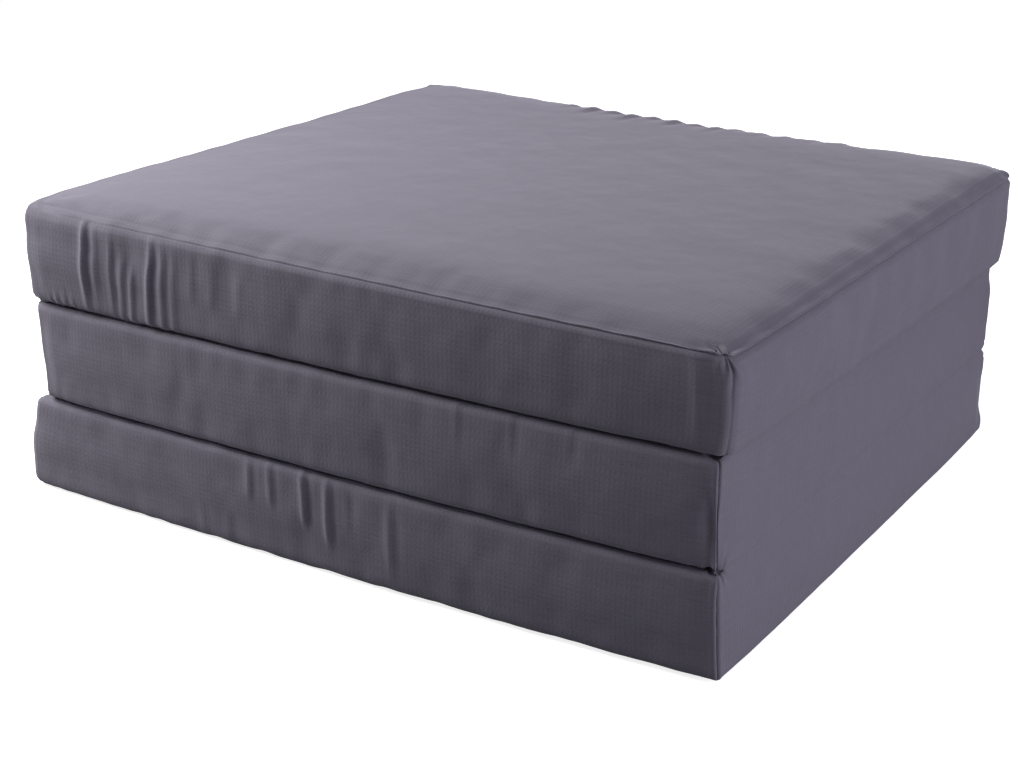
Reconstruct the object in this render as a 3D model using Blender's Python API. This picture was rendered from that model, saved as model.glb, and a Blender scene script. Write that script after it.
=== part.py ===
"""Three-panel folding futon mattress, stored in a Z fold on the floor.

Three foam blocks lie on each other in a zipped fabric cover. A hinge gusset, one
continuous strip over two end faces, joins the bottom panel to the middle one at +X,
and another joins the middle panel to the top one at -X. X runs along a panel, Y across
it, +Z up. The origin is the centre of the stack's underside. Metres.
"""
import math

import bmesh
import bpy
from mathutils import Matrix, Vector

# Panels
PANEL_LENGTH = 0.660
PANEL_WIDTH = 0.600
PANEL_THICKNESS = 0.0875
STACK_GAP = 0.0008            # air between two stacked panels
CORNER_RADIUS = 0.022         # upright corners of a free end, seen from above
EDGE_RADIUS = 0.010           # rolled edge between a face and the sides
SEAM_SKIRT = 0.002            # a sheet's straight drop below its rolled edge
COVER = 0.004                 # fabric with its lining
CLEARANCE = 0.0003            # air between neighbouring pieces
HINGE_CLEARANCE = 0.00015     # from a gusset's outer face to its fold line

# Zip in the back side of each panel
TAPE_WIDTH = 0.009
TAPE_THICKNESS = 0.0008
CHAIN_GAP = 0.0014            # between the two rows, where the slider's post runs
COIL_RADIUS = 0.0011
ZIP_MARGIN = 0.020            # from the end of the back side to the coil's end
STOP_LENGTH = 0.003
STOP_THICKNESS = 0.0020

SLIDER_LENGTH = 0.009
SLIDER_WALL = 0.0010
SLIDER_FLANGE = 0.0007        # the plate's turned-down edges
SLIDER_POST_LENGTH = 0.0030
RUNNING_GAP = 0.0004          # round the slider and round the pull's pin

PIN_RADIUS = 0.0005
BAIL_WALL = 0.0008            # bail's posts and bridge
BAIL_THICKNESS = 0.0016
PULL_LENGTH = 0.022
PULL_ARM_WIDTH = 0.0016

CORNER_SEGMENTS = 4
EDGE_SEGMENTS = 3
COIL_SIDES = 10

# Derived places
HALF_LENGTH = PANEL_LENGTH / 2
HALF_WIDTH = PANEL_WIDTH / 2
HALF_THICKNESS = PANEL_THICKNESS / 2
PITCH = PANEL_THICKNESS + STACK_GAP
SEAM_DROP = EDGE_RADIUS + SEAM_SKIRT
FOLD_X = HALF_LENGTH + HINGE_CLEARANCE
FOAM_INSET = COVER + CLEARANCE
HINGE_SEAM_X = HALF_LENGTH - FOAM_INSET                      # cover pieces meet a gusset
CORNER_SEAM_X = HALF_LENGTH - CORNER_RADIUS - SEAM_SKIRT     # back side meets a free end
CORNER_CENTRE = Vector((HALF_LENGTH - CORNER_RADIUS, CORNER_RADIUS - HALF_WIDTH, 0))

ZIP_HALF_HEIGHT = TAPE_WIDTH + CHAIN_GAP / 2
COIL_EDGE = CHAIN_GAP / 2 + 2 * COIL_RADIUS                  # outer edge of a coil, along Z
BACK_PLATE_Y = HALF_WIDTH - FOAM_INSET + RUNNING_GAP         # slider's inner face
TAPE_FACE_Y = BACK_PLATE_Y + SLIDER_WALL + RUNNING_GAP + TAPE_THICKNESS
COIL_Y = TAPE_FACE_Y + CLEARANCE + COIL_RADIUS
FRONT_PLATE_Y = COIL_Y + COIL_RADIUS + RUNNING_GAP           # front plate's inner face
PIN_Y = FRONT_PLATE_Y + SLIDER_WALL + RUNNING_GAP + PIN_RADIUS

SLIDER_HALF_WIDTH = COIL_EDGE + RUNNING_GAP + SLIDER_FLANGE
SLIDER_POST_WIDTH = CHAIN_GAP - 2 * RUNNING_GAP
BAIL_WINDOW = PIN_RADIUS + RUNNING_GAP                       # half its opening
PULL_WINDOW_HALF = BAIL_THICKNESS / 2 + RUNNING_GAP
PULL_WINDOW_LENGTH = (BAIL_WINDOW + BAIL_WALL) * math.sqrt(2) + RUNNING_GAP
PULL_WIDTH = 2 * (PULL_WINDOW_HALF + PULL_ARM_WIDTH)

LOWER, UPPER = -1, 1          # which horizontal rim of a panel
LEFT, RIGHT = -1, 1           # which end of a panel, along X

# Name, and the rims that carry a hinge: {end: rim}
PANELS = (
    ("bottom", {RIGHT: UPPER}),
    ("middle", {RIGHT: LOWER, LEFT: UPPER}),
    ("top", {LEFT: LOWER}),
)

COLOURS = {                   # colour, roughness, metallic
    "cover": ((0.155, 0.145, 0.180, 1.0), 0.90, 0.0),
    "foam": ((0.800, 0.760, 0.640, 1.0), 0.95, 0.0),
    "zip_tape": ((0.120, 0.112, 0.140, 1.0), 0.85, 0.0),
    "zip_coil": ((0.090, 0.085, 0.105, 1.0), 0.45, 0.0),
    "zip_metal": ((0.230, 0.230, 0.245, 1.0), 0.35, 0.9),
}


def make_material(name):
    """A plain Principled material of one of the part's colours."""
    colour, roughness, metallic = COLOURS[name]
    material = bpy.data.materials.new(name)
    material.use_nodes = True
    shader = material.node_tree.nodes["Principled BSDF"]
    shader.inputs["Base Color"].default_value = colour
    shader.inputs["Roughness"].default_value = roughness
    shader.inputs["Metallic"].default_value = metallic
    return material


def make_empty(name, place, parent=None):
    """An empty on a joint's axis, at a place in the world."""
    empty = bpy.data.objects.new(name, None)
    bpy.context.collection.objects.link(empty)
    put(empty, place, parent)
    return empty


def put(obj, place, parent):
    """Set an object's place in the world; empties are never turned."""
    obj.parent = parent
    above = Vector((0, 0, 0))
    while parent:
        above += parent.location
        parent = parent.parent
    obj.location = Vector(place) - above


def make_object(name, bm, material, place, parent=None):
    """Turn a bmesh into a named object with its material."""
    mesh = bpy.data.meshes.new(name)
    bm.to_mesh(mesh)
    bm.free()
    mesh.materials.append(material)
    obj = bpy.data.objects.new(name, mesh)
    bpy.context.collection.objects.link(obj)
    put(obj, place, parent)
    return obj


def make_cutter(name, bm, place, parent):
    """A helper shape for a Boolean, which isn't a piece of the mattress."""
    mesh = bpy.data.meshes.new(name)
    bm.to_mesh(mesh)
    bm.free()
    obj = bpy.data.objects.new(name, mesh)
    bpy.context.collection.objects.link(obj)
    put(obj, place, parent)
    obj.hide_render = True
    obj.display_type = "WIRE"
    return obj


def combine(obj, other, operation):
    """Join a helper shape to an object, or cut it away."""
    boolean = obj.modifiers.new(other.name, "BOOLEAN")
    boolean.operation = operation
    boolean.solver = "EXACT"
    boolean.object = other


def block(low, high):
    """A bmesh box between two corners."""
    low, high = Vector(low), Vector(high)
    bm = bmesh.new()
    bmesh.ops.create_cube(bm, size=1.0)
    bmesh.ops.scale(bm, vec=high - low, verts=bm.verts)
    bmesh.ops.translate(bm, vec=(low + high) / 2, verts=bm.verts)
    return bm


def rod(radius, length, sides, direction):
    """A bmesh rod along X or Z, centred on the origin."""
    bm = bmesh.new()
    bmesh.ops.create_cone(bm, cap_ends=True, segments=sides, radius1=radius,
                          radius2=radius, depth=length)
    if direction == "X":
        quarter_turn = Matrix.Rotation(math.pi / 2, 3, "Y")
        bmesh.ops.rotate(bm, matrix=quarter_turn, verts=bm.verts)
    return bm


def round_edges(bm, edges, radius, segments):
    """Bevel some edges to a round of one radius."""
    bmesh.ops.bevel(bm, geom=edges, offset=radius, offset_type="OFFSET",
                    segments=segments, profile=0.5, affect="EDGES", material=-1)


def panel_skin(hinges, inset=0.0):
    """Closed outer surface of one panel about its centre, or `inset` inside it.

    A free end has round upright corners. Every horizontal rim is rolled but those
    that carry a hinge, which stay square so that two panels open flat."""
    half = Vector((HALF_LENGTH - inset, HALF_WIDTH - inset, HALF_THICKNESS - inset))
    bm = block(-half, half)
    near = min(half) / 100

    def at(edge, axis, value):
        return all(abs(v.co[axis] - value) < near for v in edge.verts)

    uprights = []
    for end in (LEFT, RIGHT):
        if end not in hinges:
            for side in (-half.y, half.y):
                uprights += [e for e in bm.edges if at(e, 0, end * half.x) and at(e, 1, side)]
    round_edges(bm, uprights, CORNER_RADIUS - inset, CORNER_SEGMENTS)

    rims = []
    for rim in (LOWER, UPPER):
        for edge in bm.edges:
            hinge = any(at(edge, 0, end * half.x) and hinges[end] == rim for end in hinges)
            if at(edge, 2, rim * half.z) and not hinge:
                rims.append(edge)
    round_edges(bm, rims, EDGE_RADIUS - inset, EDGE_SEGMENTS)
    return bm


def trim(bm, point, normal):
    """Cut a closed convex shape by a plane, drop the normal's side and close the cut."""
    cut = bmesh.ops.bisect_plane(bm, geom=bm.verts[:] + bm.edges[:] + bm.faces[:],
                                 plane_co=point, plane_no=normal, clear_outer=True)
    rim = [item for item in cut["geom_cut"] if isinstance(item, bmesh.types.BMEdge)]
    bmesh.ops.edgeloop_fill(bm, edges=rim)


def trim_hinge_ends(bm, hinges):
    """Stop a side strip where the gussets' inner faces are."""
    for end in hinges:
        trim(bm, (end * HINGE_SEAM_X, 0, 0), (end, 0, 0))


def trim_band(bm):
    """Keep the side wall between a panel's two seams."""
    seam_z = HALF_THICKNESS - SEAM_DROP - CLEARANCE / 2
    for rim in (LOWER, UPPER):
        trim(bm, (0, 0, rim * seam_z), (0, 0, rim))


def make_hollow(panel, hinges, place, parent):
    """The room inside one panel's cover, which is cut from each of its cover pieces."""
    return make_cutter(f"guide_{panel}_hollow", panel_skin(hinges, COVER), place, parent)


def cover_piece(name, bm, material, hollow):
    """One piece of the cover: a trimmed panel shape, less the room inside.

    It has the same centre as its panel's hollow."""
    piece = make_object(name, bm, material, (0, 0, 0), hollow.parent)
    piece.location = hollow.location
    combine(piece, hollow, "DIFFERENCE")


def make_sheet(panel, hinges, rim, material, hollow):
    """Upper or lower sheet: the flat face, its rolled edge and a short skirt."""
    bm = panel_skin(hinges)
    trim(bm, (0, 0, rim * (HALF_THICKNESS - SEAM_DROP + CLEARANCE / 2)), (0, 0, -rim))
    for end in hinges:
        if hinges[end] == rim:
            trim(bm, (end * HINGE_SEAM_X, 0, 0), (end, 0, 0))
    side = "upper" if rim == UPPER else "lower"
    cover_piece(f"{panel}_{side}_sheet", bm, material, hollow)


def make_front_boxing(panel, hinges, material, hollow):
    """Front side strip, from corner seam to corner seam."""
    bm = panel_skin(hinges)
    trim_band(bm)
    trim_hinge_ends(bm, hinges)
    trim(bm, (0, 0, 0), (0, 1, 0))
    for end in (LEFT, RIGHT):
        if end not in hinges:
            across = Vector((end, 1, 0)).normalized()
            trim(bm, CORNER_CENTRE * Vector((end, 1, 1)) - across * CLEARANCE / 2, across)
    cover_piece(f"{panel}_front_boxing", bm, material, hollow)


def make_end_boxing(panel, end, hinges, material, hollow):
    """Side strip round a free end, with both back corners."""
    bm = panel_skin(hinges)
    trim_band(bm)
    trim(bm, (end * (CORNER_SEAM_X + CLEARANCE / 2), 0, 0), (-end, 0, 0))
    across = Vector((-end, -1, 0)).normalized()
    trim(bm, CORNER_CENTRE * Vector((end, 1, 1)) - across * CLEARANCE / 2, across)
    side = "left" if end == LEFT else "right"
    cover_piece(f"{panel}_{side}_end_boxing", bm, material, hollow)


def make_back_boxing(panel, hinges, rim, material, hollow):
    """Back side strip above or below the zip."""
    bm = panel_skin(hinges)
    trim_band(bm)
    trim_hinge_ends(bm, hinges)
    trim(bm, (0, 0, 0), (0, -1, 0))
    trim(bm, (0, 0, rim * (ZIP_HALF_HEIGHT + CLEARANCE)), (0, 0, -rim))
    for end in (LEFT, RIGHT):
        if end not in hinges:
            trim(bm, (end * (CORNER_SEAM_X - CLEARANCE / 2), 0, 0), (end, 0, 0))
    side = "upper" if rim == UPPER else "lower"
    cover_piece(f"{panel}_back_boxing_{side}", bm, material, hollow)


def make_gusset_half(name, hinges, end, material, place, parent):
    """The half of a hinge gusset that covers one panel's end, up to the fold line."""
    bm = panel_skin(hinges)
    trim(bm, (end * (HALF_LENGTH - COVER), 0, 0), (-end, 0, 0))
    far_seam_z = -hinges[end] * (HALF_THICKNESS - SEAM_DROP - CLEARANCE / 2)
    trim(bm, (0, 0, far_seam_z), (0, 0, -hinges[end]))
    make_object(name, bm, material, place, parent)


def make_foam(panel, hinges, material, place, parent):
    """The foam block that fills the cover."""
    make_object(f"{panel}_foam_core", panel_skin(hinges, FOAM_INSET), material, place, parent)


def zip_run(hinges):
    """Both ends of the straight back side, along X."""
    reach = {}
    for end in (LEFT, RIGHT):
        reach[end] = HINGE_SEAM_X if end in hinges else CORNER_SEAM_X - CLEARANCE / 2
    return -reach[LEFT], reach[RIGHT]


def coil_run(hinges):
    """Both ends of the coil, along X."""
    start, stop = zip_run(hinges)
    return start + ZIP_MARGIN, stop - ZIP_MARGIN


def make_zip_sides(panel, hinges, materials, place, parent):
    """Two tapes with a coil on each."""
    start, stop = zip_run(hinges)
    coil_start, coil_stop = coil_run(hinges)
    coil_middle = (coil_start + coil_stop) / 2
    for rim, side in ((LOWER, "lower"), (UPPER, "upper")):
        inner, outer = sorted((rim * CHAIN_GAP / 2, rim * ZIP_HALF_HEIGHT))
        tape = block((start, TAPE_FACE_Y - TAPE_THICKNESS, inner), (stop, TAPE_FACE_Y, outer))
        make_object(f"{panel}_zip_tape_{side}", tape, materials["zip_tape"], place, parent)
        coil = rod(COIL_RADIUS, coil_stop - coil_start, COIL_SIDES, "X")
        height = rim * (CHAIN_GAP / 2 + COIL_RADIUS)
        bmesh.ops.translate(coil, vec=(coil_middle, COIL_Y, height), verts=coil.verts)
        make_object(f"{panel}_zip_coil_{side}", coil, materials["zip_coil"], place, parent)


def make_zip_stops(panel, hinges, material, place, parent):
    """One crimped block past each end of the coil."""
    coil_start, coil_stop = coil_run(hinges)
    face = TAPE_FACE_Y + CLEARANCE
    for end, side in ((LEFT, "left"), (RIGHT, "right")):
        inner = (coil_start if end == LEFT else coil_stop) + end * CLEARANCE
        low, high = sorted((inner, inner + end * STOP_LENGTH))
        bm = block((low, face, -COIL_EDGE), (high, face + STOP_THICKNESS, COIL_EDGE))
        round_edges(bm, bm.edges[:], STOP_THICKNESS / 5, 1)
        make_object(f"{panel}_zip_stop_{side}", bm, material, place, parent)


def make_slider(panel, material, place, parent):
    """Zip slider about the pull's pin: two plates, a post, two flanges and a bail."""
    plate = FRONT_PLATE_Y - PIN_Y
    inner_face = BACK_PLATE_Y - PIN_Y
    half_length = SLIDER_LENGTH / 2
    overlap = SLIDER_WALL / 3
    front_plate = block((-half_length, plate, -SLIDER_HALF_WIDTH),
                        (half_length, plate + SLIDER_WALL, SLIDER_HALF_WIDTH))
    corners = [e for e in front_plate.edges
               if abs(e.verts[0].co.y - e.verts[1].co.y) > overlap]
    round_edges(front_plate, corners, SLIDER_HALF_WIDTH / 2.5, 3)
    slider = make_object(f"{panel}_zip_slider", front_plate, material, place, parent)

    pieces = [
        ("back_plate", (-half_length, inner_face, -SLIDER_HALF_WIDTH),
         (half_length, inner_face + SLIDER_WALL, SLIDER_HALF_WIDTH)),
        ("post", (-SLIDER_POST_LENGTH / 2, inner_face + overlap, -SLIDER_POST_WIDTH / 2),
         (SLIDER_POST_LENGTH / 2, plate + overlap, SLIDER_POST_WIDTH / 2)),
        ("bail", (-BAIL_WINDOW - BAIL_WALL, plate + SLIDER_WALL - overlap, -BAIL_THICKNESS / 2),
         (BAIL_WINDOW + BAIL_WALL, BAIL_WINDOW + BAIL_WALL, BAIL_THICKNESS / 2)),
    ]
    flange_foot = TAPE_FACE_Y + RUNNING_GAP - PIN_Y
    flange_run = half_length * 0.6
    for rim in (LOWER, UPPER):
        inner, outer = sorted((rim * (COIL_EDGE + RUNNING_GAP), rim * SLIDER_HALF_WIDTH))
        pieces.append((f"flange_{rim}", (-flange_run, flange_foot, inner),
                       (flange_run, plate + overlap, outer)))
    for label, low, high in pieces:
        helper = make_cutter(f"guide_{panel}_{label}", block(low, high), place, parent)
        combine(slider, helper, "UNION")
    window = block((-BAIL_WINDOW, plate + SLIDER_WALL, -BAIL_THICKNESS),
                   (BAIL_WINDOW, BAIL_WINDOW, BAIL_THICKNESS))
    combine(slider, make_cutter(f"guide_{panel}_bail_window", window, place, parent), "DIFFERENCE")


def make_pull(panel, material, place, parent):
    """Pull tab about its pin: an end bar through the bail, two arms and a plate."""
    bar = block((0, -PIN_RADIUS, -PULL_WIDTH / 2), (PULL_LENGTH, PIN_RADIUS, PULL_WIDTH / 2))
    tip_corners = [e for e in bar.edges
                   if min(v.co.x for v in e.verts) > PULL_LENGTH / 2
                   and abs(e.verts[0].co.y - e.verts[1].co.y) > PIN_RADIUS]
    round_edges(bar, tip_corners, PULL_WIDTH / 4, 3)
    pull = make_object(f"{panel}_zip_pull", bar, material, place, parent)
    window = block((-PIN_RADIUS, -PULL_WIDTH, -PULL_WINDOW_HALF),
                   (PULL_WINDOW_LENGTH, PULL_WIDTH, PULL_WINDOW_HALF))
    combine(pull, make_cutter(f"guide_{panel}_pull_window", window, place, parent), "DIFFERENCE")
    pin = rod(PIN_RADIUS, PULL_WIDTH, COIL_SIDES, "Z")
    combine(pull, make_cutter(f"guide_{panel}_pin", pin, place, parent), "UNION")


def make_panel(index, materials, parent):
    """One panel with everything that is sewn to it."""
    panel, hinges = PANELS[index]
    centre = Vector((0, 0, index * PITCH + HALF_THICKNESS))
    cover = materials["cover"]
    hollow = make_hollow(panel, hinges, centre, parent)
    make_foam(panel, hinges, materials["foam"], centre, parent)
    make_front_boxing(panel, hinges, cover, hollow)
    for rim in (LOWER, UPPER):
        make_sheet(panel, hinges, rim, cover, hollow)
        make_back_boxing(panel, hinges, rim, cover, hollow)
    for end in (LEFT, RIGHT):
        if end not in hinges:
            make_end_boxing(panel, end, hinges, cover, hollow)
        else:
            hinge = "lower" if end == RIGHT else "upper"
            name = f"{hinge}_hinge_gusset_{panel}_half"
            make_gusset_half(name, hinges, end, cover, centre, parent)
    make_zip_sides(panel, hinges, materials, centre, parent)
    make_zip_stops(panel, hinges, materials["zip_metal"], centre, parent)

    slider_x = coil_run(hinges)[0] + SLIDER_LENGTH / 2 + CLEARANCE
    pin_place = centre + Vector((slider_x, PIN_Y, 0))
    slider_axis = make_empty(f"{panel}_slider_axis", pin_place, parent)
    make_slider(panel, materials["zip_metal"], pin_place, slider_axis)
    pull_axis = make_empty(f"{panel}_pull_axis", pin_place, slider_axis)
    make_pull(panel, materials["zip_metal"], pin_place, pull_axis)


for old in list(bpy.data.objects):
    bpy.data.objects.remove(old, do_unlink=True)

materials = {name: make_material(name) for name in COLOURS}
lower_fold = make_empty("lower_fold_axis", (FOLD_X, 0, PITCH - STACK_GAP / 2))
upper_fold = make_empty("upper_fold_axis", (-FOLD_X, 0, 2 * PITCH - STACK_GAP / 2), lower_fold)
for index, carrier in enumerate((None, lower_fold, upper_fold)):
    make_panel(index, materials, carrier)
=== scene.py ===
# %% [markdown]
# # A futon mattress, folded in three
# The mattress is three foam blocks in one sewn cover. It lies folded in a Z on the floor.
# Each panel's cover is cut from flat cloth: an upper and a lower sheet, side strips
# between them, and a zip in the back. Two gussets hold the panels together.
# This lesson builds each sewn piece as a mesh of its own, from one shared block.

# %% Load the fixed frame
import math

import bmesh
import bpy
import numpy as np
from mathutils import Matrix, Vector, noise
from mathutils.bvhtree import BVHTree


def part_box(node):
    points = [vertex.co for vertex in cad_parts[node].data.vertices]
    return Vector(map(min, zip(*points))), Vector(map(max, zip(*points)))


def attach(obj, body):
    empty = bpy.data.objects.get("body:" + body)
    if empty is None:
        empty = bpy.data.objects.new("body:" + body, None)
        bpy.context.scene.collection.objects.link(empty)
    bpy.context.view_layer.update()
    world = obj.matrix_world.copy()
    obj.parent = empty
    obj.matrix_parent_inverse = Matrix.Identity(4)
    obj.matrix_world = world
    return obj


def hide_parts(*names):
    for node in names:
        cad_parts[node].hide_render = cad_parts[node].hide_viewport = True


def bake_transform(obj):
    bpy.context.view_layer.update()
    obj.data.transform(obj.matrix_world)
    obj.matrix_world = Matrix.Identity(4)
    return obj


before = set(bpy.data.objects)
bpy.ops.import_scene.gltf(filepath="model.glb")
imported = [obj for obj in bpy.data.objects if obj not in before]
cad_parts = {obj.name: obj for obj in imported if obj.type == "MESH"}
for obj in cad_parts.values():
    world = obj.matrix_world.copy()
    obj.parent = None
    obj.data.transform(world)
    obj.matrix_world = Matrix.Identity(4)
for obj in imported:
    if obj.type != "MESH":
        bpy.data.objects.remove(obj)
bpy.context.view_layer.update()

# %% [markdown]
# ## Sizes
# The CAD model knows how large every block is. Reading the sizes from it keeps both
# models in step, so a longer mattress in CAD gives a longer one here.

# %% Read the panel sizes
LOWER, UPPER = -1, 1
LEFT, RIGHT = -1, 1
HINGES = {"bottom": {RIGHT: UPPER}, "middle": {RIGHT: LOWER, LEFT: UPPER}, "top": {LEFT: LOWER}}

half_length = -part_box("bottom_left_end_boxing")[0].x
half_width = -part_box("bottom_front_boxing")[0].y
half_thickness = (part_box("bottom_upper_sheet")[1].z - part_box("bottom_lower_sheet")[0].z) / 2
HALF = Vector((half_length, half_width, half_thickness))
CENTRE_Z = {panel: (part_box(f"{panel}_upper_sheet")[1].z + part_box(f"{panel}_lower_sheet")[0].z) / 2
            for panel in HINGES}
seam_z = (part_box("bottom_front_boxing")[1].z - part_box("bottom_front_boxing")[0].z) / 2
corner_seam_x = -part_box("bottom_back_boxing_upper")[0].x
hinge_seam_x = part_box("bottom_back_boxing_upper")[1].x
zip_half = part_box("bottom_zip_tape_upper")[1].z - CENTRE_Z["bottom"]
print("half size of a panel:", [round(v, 4) for v in HALF], "seams at", round(seam_z, 4))

# %% [markdown]
# ## Camera, floor and light
# The mattress is seen from a little above, with its front right corner nearest. A long
# lens keeps its sides almost parallel. The camera rolls by less than a degree.

# %% Camera
def aim(place, azimuth, elevation, roll):
    """A camera's matrix: azimuth 0 looks along +Y, and roll turns it about its line of sight."""
    a, e = math.radians(azimuth), math.radians(elevation)
    sight = Vector((-math.sin(a) * math.cos(e), math.cos(a) * math.cos(e), -math.sin(e)))
    right = Vector((math.cos(a), math.sin(a), 0))
    turn = Matrix.Rotation(math.radians(-roll), 3, sight)
    right = turn @ right
    up = right.cross(sight)
    return Matrix.Translation(place) @ Matrix((right, up, -sight)).transposed().to_4x4()


def add_object(name, data):
    """A new object in the scene."""
    thing = bpy.data.objects.new(name, data)
    bpy.context.scene.collection.objects.link(thing)
    return thing


camera = add_object("camera", bpy.data.cameras.new("camera"))
camera.data.lens = 63.9
camera.data.clip_end = 120
camera.matrix_world = aim((0.8109, -1.3721, 0.6619), 31.42, 20.27, 0.84)
bpy.context.scene.camera = camera
bpy.context.scene.view_settings.view_transform = "Standard"

# %% [markdown]
# The floor is a wide pale sheet. The camera sees floor and room as plain white, as in a
# small studio, while the cloth gets a dim room's light and three soft lamps: one in front
# on the left, one behind and one on the right.

# %% Floor, room and lamps
def to_mesh(bm, name):
    """A new mesh from a bmesh, which is then freed."""
    mesh = bpy.data.meshes.new(name)
    bm.to_mesh(mesh)
    bm.free()
    return mesh


floor_bm = bmesh.new()
bmesh.ops.create_grid(floor_bm, x_segments=2, y_segments=2, size=40)
floor = add_object("floor", to_mesh(floor_bm, "floor"))
floor.location.z = -0.0005


def new_material(name):
    """An empty material with its nodes, its links and its Principled shader."""
    material = bpy.data.materials.new(name)
    material.use_nodes = True
    tree = material.node_tree
    return material, tree.nodes, tree.links, tree.nodes["Principled BSDF"]


floor_material, nodes, links, shader = new_material("floor")
shader.inputs["Roughness"].default_value = 0.9
shader.inputs["Specular IOR Level"].default_value = 0.1
shader.inputs["Emission Color"].default_value = (1, 1, 1, 1)
light_path = nodes.new("ShaderNodeLightPath")
pale = nodes.new("ShaderNodeMix")
pale.data_type = "RGBA"
pale.inputs["A"].default_value = (0.30, 0.30, 0.30, 1)
pale.inputs["B"].default_value = (0.85, 0.85, 0.85, 1)
glow = nodes.new("ShaderNodeMath")
glow.operation = "MULTIPLY"
glow.inputs[1].default_value = 0.80
links.new(light_path.outputs["Is Camera Ray"], pale.inputs["Factor"])
links.new(light_path.outputs["Is Camera Ray"], glow.inputs[0])
links.new(glow.outputs[0], shader.inputs["Emission Strength"])
links.new(pale.outputs["Result"], shader.inputs["Base Color"])
floor.data.materials.append(floor_material)

world = bpy.data.worlds.new("room")
world.use_nodes = True
nodes, links = world.node_tree.nodes, world.node_tree.links
nodes["Background"].inputs["Color"].default_value = (0.90, 0.87, 1, 1)
nodes["Background"].inputs["Strength"].default_value = 0.24
wall = nodes.new("ShaderNodeBackground")
wall.inputs["Color"].default_value = (1, 1, 1, 1)
light_path = nodes.new("ShaderNodeLightPath")
either = nodes.new("ShaderNodeMixShader")
links.new(light_path.outputs["Is Camera Ray"], either.inputs["Fac"])
links.new(nodes["Background"].outputs[0], either.inputs[1])
links.new(wall.outputs[0], either.inputs[2])
links.new(either.outputs[0], nodes["World Output"].inputs["Surface"])
bpy.context.scene.world = world


def add_lamp(name, place, target, size, energy, colour):
    """A square soft lamp at a place, turned towards a target."""
    lamp = add_object(name, bpy.data.lights.new(name, "AREA"))
    lamp.data.shape = "SQUARE"
    lamp.data.size = size
    lamp.data.energy = energy
    lamp.data.color = colour
    lamp.location = place
    lamp.rotation_euler = (Vector(target) - Vector(place)).to_track_quat("-Z", "Y").to_euler()


add_lamp("key", (-1.00, -0.46, 0.92), (-0.10, 0, 0.2), 0.8, 32, (1, 0.99, 0.98))
add_lamp("back_fill", (0.1, 2.0, 0.30), (0, 0.3, 0.12), 0.9, 12, (1, 0.98, 1))
add_lamp("right_fill", (1.9, -0.05, 0.38), (0.33, 0, 0.13), 1.0, 27, (0.94, 0.92, 1))

# %% [markdown]
# ## One block for all panels
# A panel is a box, so its cloth is a box too before it is stuffed. A cube cut by many
# planes gives an even net of quads, and the planes lie closer where the cloth rolls over
# an edge or meets a seam. The seams are cut lines too, so a piece ends exactly there.

# %% Cut a cube into a net
def both_ways(limit, near_ends, spacing):
    """Cut places between -limit and limit: the given distances from each end, then even ones."""
    inner = limit - near_ends[-1]
    count = math.ceil(2 * inner / spacing)
    even = [-inner + 2 * inner * i / count for i in range(count + 1)]
    ends = [limit - d for d in near_ends[:-1]]
    return sorted(even + ends + [-e for e in ends])


def cut_net(half, cuts):
    """A box about the origin, cut by planes across X, Y and Z."""
    bm = bmesh.new()
    bmesh.ops.create_cube(bm, size=2.0)
    bmesh.ops.scale(bm, vec=half, verts=bm.verts)
    for axis in range(3):
        normal = Vector([float(axis == k) for k in range(3)])
        for place in cuts[axis]:
            bmesh.ops.bisect_plane(bm, geom=bm.verts[:] + bm.edges[:] + bm.faces[:],
                                   plane_co=normal * place, plane_no=normal)
    return bm


end_cuts = [half_length - hinge_seam_x, 0.009, 0.014, 0.019,
            half_length - corner_seam_x, 0.032, 0.041]
x_cuts = both_ways(half_length, end_cuts, 0.0116)
y_cuts = both_ways(half_width, [0.0043, 0.009, 0.014, 0.020, 0.029, 0.042], 0.020)
z_cuts = sorted(side * z for side in (-1, 1)
                for z in (zip_half, 0.021, seam_z, half_thickness - 0.008, half_thickness - 0.004))
net = cut_net(HALF, (x_cuts, y_cuts, z_cuts))
net_mesh = to_mesh(net, "net")
print("net:", len(net_mesh.vertices), "points,", len(net_mesh.polygons), "faces")

# %% [markdown]
# ## From box to rolled edges
# Cloth over foam has no sharp edges. Each point of the box is moved to where the rounded
# block's skin is, with the direction that points out of it there. The rim that carries a
# hinge stays nearly square, because two panels meet along it when they open.

# %% Round the box
# Along each rim: the front at its left and right end, the back, the left end, the right end
HINGE_RIM = 0.0015
ROLL = {                    # radius of the rolled rim, metres
    ("bottom", LOWER): (0.011, 0.008, 0.009, 0.011, 0.009),
    ("bottom", UPPER): (0.009, 0.006, 0.008, 0.012, HINGE_RIM),
    ("middle", LOWER): (0.006, 0.006, 0.008, 0.008, HINGE_RIM),
    ("middle", UPPER): (0.007, 0.005, 0.008, HINGE_RIM, 0.004),
    ("top", LOWER): (0.010, 0.007, 0.008, HINGE_RIM, 0.004),
    ("top", UPPER): (0.017, 0.006, 0.010, 0.018, 0.008),
}
SEWN = half_thickness - seam_z
HIDDEN = -0.0030
SLIDE_REACH = 0.030         # how far from the rim the cloth slides
SEAM_AT = {                 # how far the seam lies below the rim, or inside it if below 0
    ("bottom", LOWER): (HIDDEN, HIDDEN, 0.004, HIDDEN, HIDDEN),
    ("bottom", UPPER): (HIDDEN, HIDDEN, 0.004, HIDDEN, SEWN),
    ("middle", LOWER): (HIDDEN, HIDDEN, 0.004, HIDDEN, SEWN),
    ("middle", UPPER): (HIDDEN, HIDDEN, 0.004, SEWN, HIDDEN),
    ("top", LOWER): (HIDDEN, HIDDEN, 0.004, SEWN, HIDDEN),
    ("top", UPPER): (0.0040, 0.0042, 0.006, 0.006, 0.0078),
}
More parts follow.
